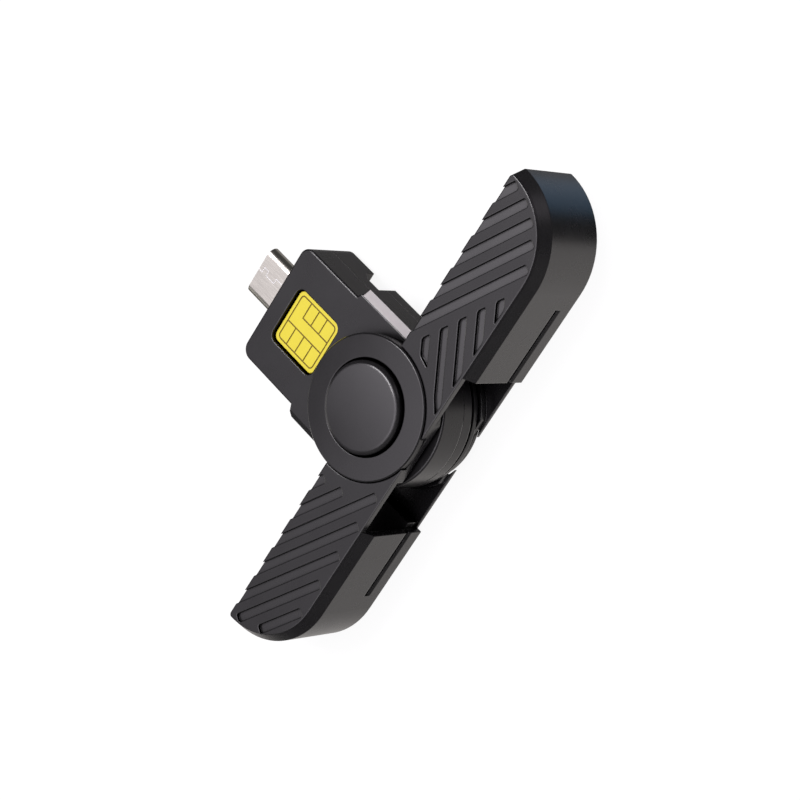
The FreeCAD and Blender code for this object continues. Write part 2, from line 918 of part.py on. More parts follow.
def module_front_shell():
    """The module's front: hollow, with the inlay's recess, bevelled sides and the seat of the disc."""
    body = new_body("module_front_shell")
    sketch = new_sketch(body, module_split)
    module_outline(sketch, as_size(0))
    pad(body, sketch, module_top - module_split)
    bevel(body, edges_at(body, module_top), S.face_bevel)
    bevel_sides(body)

    sketch = new_sketch(body, module_split)
    module_outline(sketch, S.module_wall)
    pocket(body, sketch, cavity_top - module_split, reverse=True)

    guide_end = jog_high + overshoot
    sketch = new_sketch(body, -guide_end, "XZ_Plane")
    guide_outline(sketch)
    pocket(body, sketch, guide_end - S.guide_start, reverse=True)

    sketch = new_sketch(body, module_top)
    inlay_outline(sketch, S.inlay_gap)
    pocket(body, sketch, S.inlay_sink + S.inlay_thickness)

    boss_drop = (cavity_top - board_top) * S.centre_boss_share
    posts(body, [ORIGIN], S.centre_head, cavity_top - boss_drop, cavity_top)
    screw_tip = cap_seat + S.screw_head_height - S.pivot_screw_length
    drill(body, [ORIGIN], S.centre_shank, screw_tip - S.screw_fit, module_top)

    posts(body, shell_screw_places, S.shell_boss_radius, module_split, cavity_top)
    screw_tip = shell_screw_face + S.shell_screw_length
    drill(body, shell_screw_places, S.screw_shank, module_split, screw_tip + S.screw_fit)
    plug_channel(body)
    return body


def back_block(body):
    """The deep block at the plug, with the stop face for the card and the slope that leads to it."""
    near = stop_face - S.stop_slope
    sketch = new_sketch(body, S.block_bottom)
    outline(sketch, (-module_half, near), (module_half, near),
            *block_corners(module_half, S.module_reach, S.corner_radius))
    pad(body, sketch, mouth_top - S.block_bottom)

    below = S.block_bottom - overshoot
    sketch = new_sketch(body, 0, "YZ_Plane")
    outline(
        sketch,
        (near - overshoot, below),
        (stop_face, below),
        (stop_face, S.block_bottom + S.stop_height),
        (near, mouth_top),
        (near - overshoot, mouth_top),
    )
    pocket(body, sketch, module_half * 2 + overshoot, symmetric=True)


def module_back_shell():
    """The module's back: the roof of the card gap, and the deep block that carries the plug."""
    body = new_body("module_back_shell")
    sketch = new_sketch(body, mouth_top)
    module_outline(sketch, as_size(0))
    pad(body, sketch, module_split - mouth_top)
    back_block(body)

    inset = S.module_wall
    half = module_half - inset
    sketch = new_sketch(body, module_split)
    corners = hub_corners(hub_radius - inset, half, jog_low - inset, jog_high - inset)
    outline(sketch, *corners, (half, stop_face), (-half, stop_face))
    pocket(body, sketch, module_split - floor_top)
    posts(body, board_posts, S.board_post_radius, floor_top, board_bottom)

    sketch = new_sketch(body, floor_top)
    half_x = S.contact_block_width / 2 + S.contact_block_fit
    half_y = S.contact_block_length / 2 + S.contact_block_fit
    box_outline(sketch, -half_x, half_x, S.contact_y - half_y, S.contact_y + half_y)
    pocket(body, sketch, S.mouth_roof)

    sketch = new_sketch(body, S.block_bottom)
    neck = S.tray_neck + S.tray_fit
    box_outline(sketch, -neck, neck, stop_face - overshoot, tray_end + S.tray_fit)
    pocket(body, sketch, mouth_floor + S.tray_fit - S.block_bottom, reverse=True)

    drill(body, shell_screw_places, screw_hole, S.block_bottom, module_split)
    drill(body, shell_screw_places, head_hole, S.block_bottom, shell_screw_face + S.screw_head_height)
    tray_tip = S.block_bottom + S.tray_screw_length
    drill(body, [tray_screw_place], S.screw_shank, mouth_floor, tray_tip + S.screw_fit)
    plug_channel(body)
    return body


def card_tray():
    """The lower jaw under the hub: it bears the card, turns in the rear bearing and is held by the block."""
    body = new_body("card_tray")
    radius = hub_radius - S.tray_inset
    neck = S.tray_neck
    sketch = new_sketch(body, tray_bottom)
    outline(
        sketch,
        (neck, tray_end),
        (-neck, tray_end),
        (-neck, leg(radius, neck)),
        (0, -radius, ORIGIN, radius, "left"),
        (neck, leg(radius, neck), ORIGIN, radius, "left"),
    )
    pad(body, sketch, S.tray_thickness)
    posts(body, [ORIGIN], S.neck_radius, rear_disc_top, tray_bottom)

    sketch = new_sketch(body, S.block_bottom)
    box_outline(sketch, -neck, neck, stop_face, tray_end)
    pad(body, sketch, tray_bottom - S.block_bottom)

    rear_tip = S.rear_disc_lift + S.rear_screw_length
    drill(body, [ORIGIN], S.centre_shank, rear_disc_top, rear_tip + S.screw_fit)
    drill(body, [tray_screw_place], screw_hole, S.block_bottom, mouth_floor)
    drill(body, [tray_screw_place], head_hole, S.block_bottom, S.block_bottom + S.screw_head_height)
    return body


def rear_disc():
    """The disc that closes the rear bearing, flush in the back cover."""
    body = new_body("rear_disc")
    posts(body, [ORIGIN], rear_disc_radius, S.rear_disc_lift, rear_disc_top)
    drill(body, [ORIGIN], centre_hole, S.rear_disc_lift, rear_disc_top)
    head_top = S.rear_disc_lift + S.flat_head_height
    drill(body, [ORIGIN], S.centre_head + S.screw_fit, S.rear_disc_lift, head_top)
    return body


def pivot_disc():
    """The front disc with its neck, which hangs the module in the casing's bearing."""
    body = new_body("pivot_disc")
    posts(body, [ORIGIN], disc_radius, disc_bottom, disc_top)
    bevel(body, edges_at(body, disc_top), S.disc_bevel)
    posts(body, [ORIGIN], S.neck_radius, module_top, disc_bottom)
    drill(body, [ORIGIN], S.cap_radius + S.cap_gap, cap_seat, disc_top)
    drill(body, [ORIGIN], centre_hole, module_top, cap_seat)
    return body


def pivot_cap():
    """The round cap over the disc's screw, hollow underneath."""
    body = new_body("pivot_cap")
    cap_top = cap_seat + S.cap_height
    posts(body, [ORIGIN], S.cap_radius, cap_seat, cap_top)
    bevel(body, edges_at(body, cap_top), S.cap_bevel)
    hollow_top = cap_seat + S.screw_head_height + S.screw_fit
    drill(body, [ORIGIN], S.cap_radius - S.cap_skirt, cap_seat, hollow_top)
    return body


def light_guide():
    """The clear strip that fills the module's right bevel."""
    body = new_body("light_guide")
    sketch = new_sketch(body, -jog_low, "XZ_Plane")
    guide_outline(sketch)
    pad(body, sketch, jog_low - S.guide_start)
    return body


def inlay_lines(body):
    """Fine grooves on the inlay: a rounded frame, two long lines, and short ones that divide both sides."""
    half_x = S.inlay_width / 2 - S.line_inset
    half_y = S.inlay_length / 2 - S.line_inset
    middle = -S.inlay_aside
    wide = S.line_width / 2
    sketch = new_sketch(body, inlay_top)
    round_box(sketch, middle, inlay_y, half_x + wide, half_y + wide, S.line_corner + wide)
    round_box(sketch, middle, inlay_y, half_x - wide, half_y - wide, S.line_corner - wide)
    pocket(body, sketch, S.line_depth)

    left = middle - S.line_left
    right = middle + S.line_right
    right_high = inlay_y + S.line_right_pitch
    sketch = new_sketch(body, inlay_top)
    box_outline(sketch, left - wide, left + wide, inlay_y - half_y, inlay_y + half_y)
    box_outline(sketch, right - wide, right + wide, inlay_y - half_y, right_high + wide)
    pocket(body, sketch, S.line_depth)

    sketch = new_sketch(body, inlay_top)
    for step in (-1, 0, 1):
        left_y = inlay_y + S.line_left_pitch * step
        right_y = inlay_y + S.line_right_pitch * step
        box_outline(sketch, middle - half_x, left, left_y - wide, left_y + wide)
        box_outline(sketch, right, middle + half_x, right_y - wide, right_y + wide)
    pocket(body, sketch, S.line_depth)


def contact_inlay():
    """The yellow inlay, sunk in its recess."""
    body = new_body("contact_inlay")
    sketch = new_sketch(body, inlay_top - S.inlay_thickness)
    inlay_outline(sketch, as_size(0))
    pad(body, sketch, S.inlay_thickness)
    bevel(body, edges_at(body, inlay_top), S.inlay_bevel)
    inlay_lines(body)
    return body


def seam_path():
    """The stepped line of the plug's seam, from the tip to the module, and which way each point steps."""
    near = S.seam_x
    far = S.seam_x + S.seam_step
    first = plug_tip - S.seam_lead
    second = first - S.seam_tooth
    third = second - S.seam_pause
    return [
        (near, plug_tip + S.seam_width, 0),
        (near, first, 1),
        (far, first, 1),
        (far, second, -1),
        (near, second, -1),
        (near, third, 1),
        (far, third, 1),
        (far, S.module_reach, 0),
    ]


def seam_outline(sketch):
    """The seam's line widened to both sides."""
    half = S.seam_width / 2
    left_side = [(x - half, y - half * step) for x, y, step in seam_path()]
    right_side = [(x + half, y + half * step) for x, y, step in seam_path()]
    outline(sketch, *left_side, *right_side[::-1])


def plug_shell():
    """The steel shell of the plug: a drawn sleeve with round sides and a stepped seam."""
    body = new_body("usb_plug_shell")
    sketch = new_sketch(body, -plug_tip, "XZ_Plane")
    plug_outline(sketch, as_size(0))
    plug_outline(sketch, -S.plug_wall)
    pad(body, sketch, plug_tip - plug_tail)
    sketch = new_sketch(body, plug_centre + S.plug_height / 2)
    seam_outline(sketch)
    pocket(body, sketch, S.seam_depth)
    return body


def plug_insulator():
    """The black core of the plug, with the mouth for the socket's tongue."""
    body = new_body("usb_plug_insulator")
    face = plug_tip - S.plug_wall
    sketch = new_sketch(body, -face, "XZ_Plane")
    plug_outline(sketch, -S.plug_wall)
    pad(body, sketch, face - plug_tail)
    sketch = new_sketch(body, -face, "XZ_Plane")
    half = S.plug_mouth_width / 2
    low = plug_centre - S.plug_mouth_height / 2
    box_outline(sketch, -half, half, low, low + S.plug_mouth_height)
    pocket(body, sketch, S.plug_mouth_depth, reverse=True)
    return body


def plug_contacts():
    """Two rows of contacts on the mouth's floor and roof."""
    pieces = []
    far = plug_tip - S.plug_wall * 2
    near = far - S.plug_contact_length
    low = plug_centre - S.plug_mouth_height / 2
    high = plug_centre + S.plug_mouth_height / 2
    thick = S.plug_contact_thickness
    for number in range(CONTACTS_PER_ROW):
        left = S.plug_contact_pitch * (number - (CONTACTS_PER_ROW - 1) / 2) - S.plug_contact_width / 2
        right = left + S.plug_contact_width
        pieces.append(block(f"contact_low_{number}", left, right, near, far, low, low + thick))
        pieces.append(block(f"contact_high_{number}", left, right, near, far, high - thick, high))
    return gathered("usb_contacts", pieces)


def circuit_board():
    """The board: straight sides along the module and a round end over the hub."""
    body = new_body("circuit_board")
    half = board_half
    sketch = new_sketch(body, board_bottom)
    outline(
        sketch,
        (half, plug_tail),
        (-half, plug_tail),
        (-half, 0),
        (0, -half, ORIGIN, half, "left"),
        (half, 0, ORIGIN, half, "left"),
    )
    pad(body, sketch, S.board_thickness)
    return body


def board_part(label, middle_x, middle_y, wide, long, tall):
    """A box-shaped component on top of the board."""
    left = middle_x - wide / 2
    near = middle_y - long / 2
    part = block(label, left, left + wide, near, near + long, board_top, board_top + tall)
    part.Label = label
    return part


def capacitors():
    """Small components in a row beside the chip."""
    pieces = []
    for number in range(CAPACITORS):
        y = chip_y - S.capacitor_pitch * (number - 1)
        pieces.append(board_part(f"capacitor_{number}", -S.capacitor_x, y, S.capacitor_length,
                                 S.capacitor_width, S.capacitor_width))
    return gathered("capacitors", pieces)


def contact_block():
    """The holder of the card contacts, in the roof of the card gap."""
    body = new_body("card_contact_block")
    half_x = S.contact_block_width / 2
    half_y = S.contact_block_length / 2
    sketch = new_sketch(body, contact_bottom)
    box_outline(sketch, -half_x, half_x, S.contact_y - half_y, S.contact_y + half_y)
    pad(body, sketch, board_bottom - contact_bottom)
    return body


def contact_spring(name, x, y):
    """One bent spring that dips into the card gap, centred on (x, y)."""
    body = new_body(name)
    sketch = new_sketch(body, x, "YZ_Plane")
    half = S.spring_length / 2
    foot = half - S.spring_thickness * 2
    low = contact_bottom - S.spring_drop
    outline(
        sketch,
        (y - half, contact_bottom),
        (y, low),
        (y + half, contact_bottom),
        (y + foot, contact_bottom),
        (y, low + S.spring_thickness),
        (y - foot, contact_bottom),
    )
    pad(body, sketch, S.spring_width, symmetric=True)
    return body


def contact_springs():
    """Springs in two rows under the contact block."""
    pieces = []
    for row, side_sign in (("near", -1), ("far", 1)):
        y = S.contact_y + S.spring_row / 2 * side_sign
        for number in range(SPRINGS_PER_ROW):
            x = S.spring_pitch * (number - (SPRINGS_PER_ROW - 1) / 2)
            pieces.append(contact_spring(f"spring_{row}_{number}", x, y))
    return gathered("card_contact_springs", pieces)


def pivot_screw():
    """The screw that holds the front disc, under the cap."""
    face = cap_seat + S.screw_head_height
    return screw("pivot_screw", ORIGIN, S.centre_shank, S.centre_head, face, cap_seat,
                 face - S.pivot_screw_length)


def rear_screw():
    """The flat screw that holds the rear disc."""
    face = S.rear_disc_lift
    return screw("rear_screw", ORIGIN, S.centre_shank, S.centre_head, face, face + S.flat_head_height,
                 face + S.rear_screw_length)


sub_parts = [
    casing_shell(),
    back_cover(),
    small_screws("casing_screws", case_bosses, S.rear_disc_lift, S.case_screw_length),
    module_front_shell(),
    module_back_shell(),
    small_screws("module_screws", shell_screw_places, shell_screw_face, S.shell_screw_length),
    card_tray(),
    small_screw("tray_screw", tray_screw_place, S.block_bottom, S.tray_screw_length),
    rear_disc(),
    rear_screw(),
    pivot_disc(),
    pivot_screw(),
    pivot_cap(),
    light_guide(),
    contact_inlay(),
    plug_shell(),
    plug_insulator(),
    plug_contacts(),
    circuit_board(),
    board_part("reader_chip", as_size(0), chip_y, S.chip_size, S.chip_size, S.chip_height),
    board_part("crystal", S.crystal_x, crystal_y, S.crystal_width, S.crystal_length, S.crystal_height),
    capacitors(),
    board_part("status_led", board_half - S.led_inset, led_y, S.led_width, S.led_length, S.led_height),
    contact_block(),
    contact_springs(),
]
doc.recompute()

for thing in doc.Objects:
    if "Invalid" in thing.State or "Error" in thing.State:
        raise ValueError(f"{thing.Name} failed: {thing.State}")
for part in sub_parts:
    if part.Shape.isNull() or not part.Shape.isValid() or not part.Shape.Solids:
        raise ValueError(f"{part.Label} has no valid shape")

os.makedirs("parts", exist_ok=True)
for part in sub_parts:
    part.Shape.exportStep(f"parts/{part.Label}.step")
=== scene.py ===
from collections import namedtuple

import bpy
from mathutils import Matrix, Vector


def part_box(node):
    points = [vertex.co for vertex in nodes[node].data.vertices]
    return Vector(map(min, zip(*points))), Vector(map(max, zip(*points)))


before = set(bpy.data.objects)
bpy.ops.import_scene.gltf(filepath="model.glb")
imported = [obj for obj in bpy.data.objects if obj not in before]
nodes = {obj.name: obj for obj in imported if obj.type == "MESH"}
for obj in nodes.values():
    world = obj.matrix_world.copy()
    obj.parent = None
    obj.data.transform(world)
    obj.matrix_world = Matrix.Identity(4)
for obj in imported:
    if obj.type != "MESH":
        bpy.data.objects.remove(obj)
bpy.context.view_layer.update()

scene = bpy.context.scene

MM = 0.001
X_AXIS = (1.0, 0.0, 0.0)
UP = (0.0, 0.0, 1.0)
DOWN = (0.0, 0.0, -1.0)
OPPOSITE = (-1.0, -1.0, -1.0)


# Node helpers

# A Mix node has sockets of the same names for each kind of value. These are the ones for colours.
MIX_FACTOR = 0
MIX_FIRST = 6
MIX_SECOND = 7
MIX_RESULT = 2

# Most of a noise lies between these
NOISE_LOW = 0.3
NOISE_HIGH = 0.7

EDGE_SAMPLES = 8
CREVICE_SAMPLES = 8

# Cosines of the turn between the true normal and the softened one
EDGE_START = 0.999
EDGE_FULL = 0.97


class Graph:
    """A node tree, with short ways to add and join nodes."""

    def __init__(self, tree):
        self.tree = tree
        self.tree.nodes.clear()

    def add(self, kind, **settings):
        node = self.tree.nodes.new(kind)
        for key, value in settings.items():
            setattr(node, key, value)
        return node

    def feed(self, node, name, value):
        """Sets an input to a number or colour, or joins it to another node's output."""
        socket = node.inputs[name]
        if isinstance(value, bpy.types.NodeSocket):
            self.tree.links.new(value, socket)
        else:
            socket.default_value = value

    def math(self, operation, first, second=0.0):
        node = self.add("ShaderNodeMath", operation=operation)
        self.feed(node, 0, first)
        self.feed(node, 1, second)
        return node.outputs[0]

    def vector(self, operation, first, second=(0.0, 0.0, 0.0)):
        node = self.add("ShaderNodeVectorMath", operation=operation)
        self.feed(node, 0, first)
        self.feed(node, 1, second)
        return node.outputs["Value" if operation == "DOT_PRODUCT" else "Vector"]

    def place(self):
        """Coordinates in the part's own frame, in metres, which stay with the piece when it moves."""
        return self.add("ShaderNodeTexCoord").outputs["Object"]

    def along(self, direction, place=None):
        """How far a place lies along a direction."""
        return self.vector("DOT_PRODUCT", place or self.place(), direction)

    def noise(self, scale, detail=3.0, roughness=0.5, place=None):
        node = self.add("ShaderNodeTexNoise")
        self.feed(node, "Vector", place or self.place())
        self.feed(node, "Scale", scale)
        self.feed(node, "Detail", detail)
        self.feed(node, "Roughness", roughness)
        return node.outputs["Fac"]

    def ramp(self, value, start, end, low=0.0, high=1.0, soft=False):
        """A value between low and high, following another value between its start and its end."""
        node = self.add("ShaderNodeMapRange", interpolation_type="SMOOTHSTEP" if soft else "LINEAR")
        self.feed(node, "Value", value)
        self.feed(node, "From Min", start)
        self.feed(node, "From Max", end)
        self.feed(node, "To Min", low)
        self.feed(node, "To Max", high)
        return node.outputs["Result"]

    def blend(self, share, low, high):
        """A value between low and high, by a share from 0 to 1."""
        return self.ramp(share, 0.0, 1.0, low, high)

    def spread(self, noise, middle, reach):
        """A value that a noise moves up and down about its middle."""
        return self.ramp(noise, NOISE_LOW, NOISE_HIGH, middle - reach, middle + reach)

    def mix(self, factor, first, second, blend="MIX"):
        node = self.add("ShaderNodeMix", data_type="RGBA", blend_type=blend)
        self.feed(node, MIX_FACTOR, factor)
        self.feed(node, MIX_FIRST, first)
        self.feed(node, MIX_SECOND, second)
        return node.outputs[MIX_RESULT]

    def choose(self, factor, first, second):
        """One shader or another."""
        node = self.add("ShaderNodeMixShader")
        self.feed(node, 0, factor)
        self.feed(node, 1, first)
        self.feed(node, 2, second)
        return node.outputs[0]


class Finish(Graph):
    """A material's node tree."""

    def __init__(self, name):
        self.material = bpy.data.materials.new(name)
        self.material.use_nodes = True
        super().__init__(self.material.node_tree)
        self.output = self.add("ShaderNodeOutputMaterial")

    def soft_edge(self, radius):
        """A normal that rounds off sharp edges by a small radius."""
        node = self.add("ShaderNodeBevel", samples=EDGE_SAMPLES)
        self.feed(node, "Radius", radius)
        return node.outputs["Normal"]

    def crevice_shade(self, reach, start, full):
        """Painted shade mask: from 0 in a corner or a gap to 1 in the open, looking as far as the reach.
        """
        node = self.add("ShaderNodeAmbientOcclusion", samples=CREVICE_SAMPLES)
        self.feed(node, "Distance", reach)
        return self.ramp(node.outputs["AO"], start, full, soft=True)

    def edge_share(self, normal):
        """From 0 on open faces to 1 where the softened normal turns away at an edge."""
        flat = self.add("ShaderNodeNewGeometry").outputs["True Normal"]
        return self.ramp(self.along(flat, normal), EDGE_START, EDGE_FULL)

    def domed(self, normal, tilt):
        """A normal that leans outwards from the swivel axis, as on a slightly domed face."""
        outwards = self.vector("MULTIPLY", self.place(), tilt + (0.0,))
        turned = self.add("ShaderNodeVectorTransform", vector_type="VECTOR")
        turned.convert_from = "OBJECT"
        turned.convert_to = "WORLD"
        self.feed(turned, "Vector", outwards)
        return self.vector("NORMALIZE", self.vector("ADD", normal, turned.outputs["Vector"]))

    def bump(self, height, strength, distance, normal=None):
        node = self.add("ShaderNodeBump")
        self.feed(node, "Strength", strength)
        self.feed(node, "Distance", distance)
        self.feed(node, "Height", height)
        if normal is not None:
            self.feed(node, "Normal", normal)
        return node.outputs["Normal"]

    def surface(self, **inputs):
        """A principled surface joined to the output."""
        node = self.add("ShaderNodeBsdfPrincipled")
        for name, value in inputs.items():
            self.feed(node, name.replace("_", " "), value)
        self.feed(self.output, "Surface", node.outputs[0])
        return self.material


def opaque(tone):
    return tone + (1.0,)


def grey(value):
    return opaque((value, value, value))


def scaled(tone, factor):
    return opaque(tuple(part * factor for part in tone))


def top(node):
    """How high a node reaches."""
    return max(corner[2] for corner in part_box(node))


# Plastics of the casing and the module

BLACK = (0.013, 0.0125, 0.0135)
BLACK_SPREAD = 0.15
CLOUD_SCALE = 180.0
GRAIN_SCALE = 4200.0
MOTTLE_LOW = 0.7
MOTTLE_HIGH = 1.3
GRAIN_STRENGTH = 0.03
GRAIN_HEIGHT = 0.01 * MM
ROUGHNESS_SPREAD = 0.02
EDGE_ROUGHNESS = 0.1
# Specular level raised on the edges: a painted highlight along them (the lower roughness above is a
# polish)
EDGE_HIGHLIGHT_LEVEL = 1.0

# How far the painted crevice shade looks: into tight corners, and deep inside the part
CORNER_REACH = 0.5 * MM
INSIDE_REACH = 12.0 * MM

CASING_TOP = top("casing_shell")
GROOVE_DEPTH = 0.45 * MM
LEVEL_REACH = 20.0 * MM
# Specular level below the plate's top, from left to right: painted sheen for the way light falls along
# the casing
LEFT_PAINTED_SHEEN = 0.68
RIGHT_PAINTED_SHEEN = 1.0


def painted_crevice_shading(finish):
    """Painted shade mask for crevices: from 0 in tight corners and deep inside the part to 1 on its open
    faces.
    """
    corner = finish.crevice_shade(CORNER_REACH, start=0.35, full=0.68)
    inside = finish.crevice_shade(INSIDE_REACH, start=0.25, full=0.75)
    return finish.math("MULTIPLY", corner, inside)


def casing_painted_sheen(finish, level):
    """Painted sheen: the given specular level on top of the plate, and one that rises to the right on all
    below it, for the way light falls along the casing.
    """
    lower = finish.ramp(finish.along(X_AXIS), -LEVEL_REACH, LEVEL_REACH, LEFT_PAINTED_SHEEN, RIGHT_PAINTED_SHEEN)
    on_top = finish.ramp(finish.along(UP), CASING_TOP - GROOVE_DEPTH, CASING_TOP - GROOVE_DEPTH / 2)
    return finish.blend(on_top, lower, level)


def black_plastic(name, rough, edge, tilt=None, level=0.5, grooved=False):
    """Black moulded plastic: a fine grain, faintly clouded gloss and softened edges, with painted shade
    in crevices, a painted highlight on the edges and, on the casing, painted sheen by place.
    """
    finish = Finish(name)
    cloud = finish.noise(CLOUD_SCALE, detail=4.0)
    grain = finish.noise(GRAIN_SCALE, detail=2.0, roughness=0.6)
    mottle = finish.ramp(finish.math("ADD", cloud, grain), MOTTLE_LOW, MOTTLE_HIGH)
    plain = finish.mix(mottle, scaled(BLACK, 1 - BLACK_SPREAD), scaled(BLACK, 1 + BLACK_SPREAD))
    unshaded_share = painted_crevice_shading(finish)
    # Painted shade: the colour goes to black in corners, gaps and deep inside the part
    colour = finish.mix(unshaded_share, grey(0.0), plain)

    soft = finish.soft_edge(edge)
    at_edge = finish.edge_share(soft)
    clouded = finish.spread(cloud, rough, ROUGHNESS_SPREAD)
    gloss = finish.blend(at_edge, clouded, EDGE_ROUGHNESS)
    normal = finish.bump(grain, GRAIN_STRENGTH, GRAIN_HEIGHT, soft)
    if tilt:
        normal = finish.domed(normal, tilt)

    # Painted sheen that changes with place on the casing
    if grooved:
        level = casing_painted_sheen(finish, level)
    # Specular level with painted shade in crevices and a painted highlight raised on the edges
    painted_shine = finish.math("MULTIPLY", unshaded_share, finish.blend(at_edge, level, EDGE_HIGHLIGHT_LEVEL))
    return finish.surface(Base_Color=colour, Roughness=gloss, Normal=normal, Specular_IOR_Level=painted_shine)


casing_plastic = black_plastic("casing_plastic", rough=0.27, edge=0.22 * MM, grooved=True)
module_plastic = black_plastic("module_plastic", rough=0.28, edge=0.25 * MM)
disc_plastic = black_plastic("disc_plastic", rough=0.26, edge=0.18 * MM, tilt=(2.0, 8.0), level=0.55)
cap_plastic = black_plastic("cap_plastic", rough=0.24, edge=0.5 * MM, tilt=(12.0, 2.0), level=0.8)


# Light guide

GUIDE_DARK = (0.55, 0.53, 0.52)
GUIDE_LIGHT = (0.63, 0.61, 0.6)
GUIDE_EDGE = 0.08 * MM


def guide_material():
    """Frosted pale plastic of the light guide."""
    finish = Finish("guide_plastic")
    cloud = finish.noise(scale=700.0)
    colour = finish.mix(cloud, opaque(GUIDE_DARK), opaque(GUIDE_LIGHT))
    soft = finish.soft_edge(GUIDE_EDGE)
    normal = finish.bump(cloud, strength=0.1, distance=0.02 * MM, normal=soft)
    return finish.surface(Base_Color=colour, Roughness=0.45, Normal=normal)


# Contact inlay

YELLOW_DARK = (0.79, 0.67, 0.036)
YELLOW_LIGHT = (0.84, 0.73, 0.045)
LINE_TONE = (0.2, 0.13, 0.0)
INLAY_EDGE = 0.06 * MM
INLAY_TOP = top("contact_inlay")
LINE_DEPTH = 0.1 * MM
LINE_START = INLAY_TOP - LINE_DEPTH * 0.3
LINE_FULL = INLAY_TOP - LINE_DEPTH * 0.8


def inlay_material():
    """Smooth yellow plastic with darker lines where it is cut in."""
    finish = Finish("inlay_plastic")
    cloud = finish.noise(scale=420.0)
    yellow = finish.mix(cloud, opaque(YELLOW_DARK), opaque(YELLOW_LIGHT))
    cut = finish.ramp(finish.along(UP), LINE_START, LINE_FULL)
    colour = finish.mix(cut, yellow, opaque(LINE_TONE))
    soft = finish.soft_edge(INLAY_EDGE)
    normal = finish.bump(cloud, strength=0.05, distance=0.02 * MM, normal=soft)
    return finish.surface(Base_Color=colour, Roughness=0.42, Normal=normal)


# Steel of the plug and the screws

STEEL_GRAIN = 900.0
STEEL_STRETCH = (6.0, 0.4, 6.0)
STEEL_DARK = 0.9
STEEL_SPREAD = 0.05

PLUG_TOP = top("usb_plug_shell")
PLUG_FLAT = 2.7 * MM
SEAM_DEPTH = 0.06 * MM
SEAM_START = SEAM_DEPTH * 0.1
SEAM_FULL = SEAM_DEPTH * 0.3
SEAM_END = SEAM_DEPTH * 1.5


def seam_share(finish):
    """1 in the seam that is cut into the plug's flat top, where a highlight is painted, and 0 elsewhere.
    """
    depth = finish.math("SUBTRACT", PLUG_TOP, finish.along(UP))
    sunk = finish.ramp(depth, SEAM_START, SEAM_FULL)
    shallow = finish.math("LESS_THAN", depth, SEAM_END)
    aside = finish.math("ABSOLUTE", finish.along(X_AXIS))
    on_flat = finish.math("LESS_THAN", aside, PLUG_FLAT)
    return finish.math("MULTIPLY", sunk, finish.math("MULTIPLY", shallow, on_flat))


def steel_material(name, tone, rough, seam_highlight_tone=None):
    """Satin steel with a fine grain drawn along the plug, and a painted highlight in the seam where one
    is asked for.
    """
    finish = Finish(name)
    drawn = finish.vector("MULTIPLY", finish.place(), STEEL_STRETCH)
    grain = finish.noise(STEEL_GRAIN, place=drawn)
    colour = finish.mix(grain, scaled(tone, STEEL_DARK), opaque(tone))
    metal = 1.0
    if seam_highlight_tone:
        # Painted highlight: the seam is pale and not metal, standing in for light caught by its edges
        seam = seam_share(finish)
        colour = finish.mix(seam, colour, seam_highlight_tone)
        metal = finish.math("SUBTRACT", 1.0, seam)
    gloss = finish.spread(grain, rough, STEEL_SPREAD)
    normal = finish.bump(grain, strength=0.08, distance=0.02 * MM)
    return finish.surface(Base_Color=colour, Metallic=metal, Roughness=gloss, Normal=normal)


# Small inner pieces


def plain_material(name, dark, light, rough, metal=0.0):
    """Two close tones clouded together."""
    finish = Finish(name)
    cloud = finish.noise(scale=1500.0)
    colour = finish.mix(cloud, opaque(dark), opaque(light))
    normal = finish.bump(cloud, strength=0.1, distance=0.01 * MM)
    return finish.surface(Base_Color=colour, Metallic=metal, Roughness=rough, Normal=normal)


def plain_grey(name, dark, light, rough, metal=0.0):
    return plain_material(name, (dark, dark, dark), (light, light, light), rough, metal)


guide_plastic = guide_material()
inlay_plastic = inlay_material()
plug_steel = steel_material("plug_steel", (0.82, 0.795, 0.72), rough=0.24, seam_highlight_tone=grey(0.95))
screw_steel = steel_material("screw_steel", (0.5, 0.5, 0.5), rough=0.35)
core_plastic = plain_grey("core_plastic", 0.008, 0.014, rough=0.5)
chip_plastic = plain_grey("chip_plastic", 0.012, 0.02, rough=0.55)
can_steel = plain_grey("can_steel", 0.55, 0.62, rough=0.3, metal=1.0)
contact_gold = plain_material("contact_gold", (0.72, 0.5, 0.2), (0.8, 0.58, 0.26), rough=0.25, metal=1.0)
board_lacquer = plain_material("board_lacquer", (0.01, 0.09, 0.03), (0.015, 0.12, 0.04), rough=0.35)
ceramic = plain_material("ceramic", (0.32, 0.22, 0.12), (0.38, 0.27, 0.16), rough=0.5)
light_plastic = plain_material("light_plastic", (0.75, 0.74, 0.66), (0.82, 0.81, 0.74), rough=0.25)


# Each node's material, with the screws left to the default

FINISHES = {
    "casing_shell": casing_plastic,
    "back_cover": casing_plastic,
    "module_front_shell": module_plastic,
    "module_back_shell": module_plastic,
    "card_tray": module_plastic,
    "pivot_disc": disc_plastic,
    "rear_disc": disc_plastic,
    "pivot_cap": cap_plastic,
    "light_guide": guide_plastic,
    "contact_inlay": inlay_plastic,
    "usb_plug_shell": plug_steel,
    "usb_plug_insulator": core_plastic,
    "usb_contacts": contact_gold,
    "card_contact_springs": contact_gold,
    "card_contact_block": core_plastic,
    "circuit_board": board_lacquer,
    "reader_chip": chip_plastic,
    "crystal": can_steel,
    "capacitors": ceramic,
    "status_led": light_plastic,
}
for name, thing in nodes.items():
    thing.data.materials.clear()
    thing.data.materials.append(FINISHES.get(name, screw_steel))


# Studio: cards that light the part and show in its gloss

SOFTBOX = (0.1, 0.42, 0.9)
BACK_LEFT = (-0.65, 0.73, 0.2)
FRONT_LEFT = (-0.8, -0.6, 0.0)
BACK = (0.2, 0.98, 0.0)
RIGHT = (0.95, -0.28, 0.0)
LOW_RIGHT = (0.593, 0.135, -0.794)

# A card is seen where a ray's direction, measured along the limit's own, passes from start to full
Limit = namedtuple("Limit", "facing start full")
Card = namedtuple("Card", "tone limits")

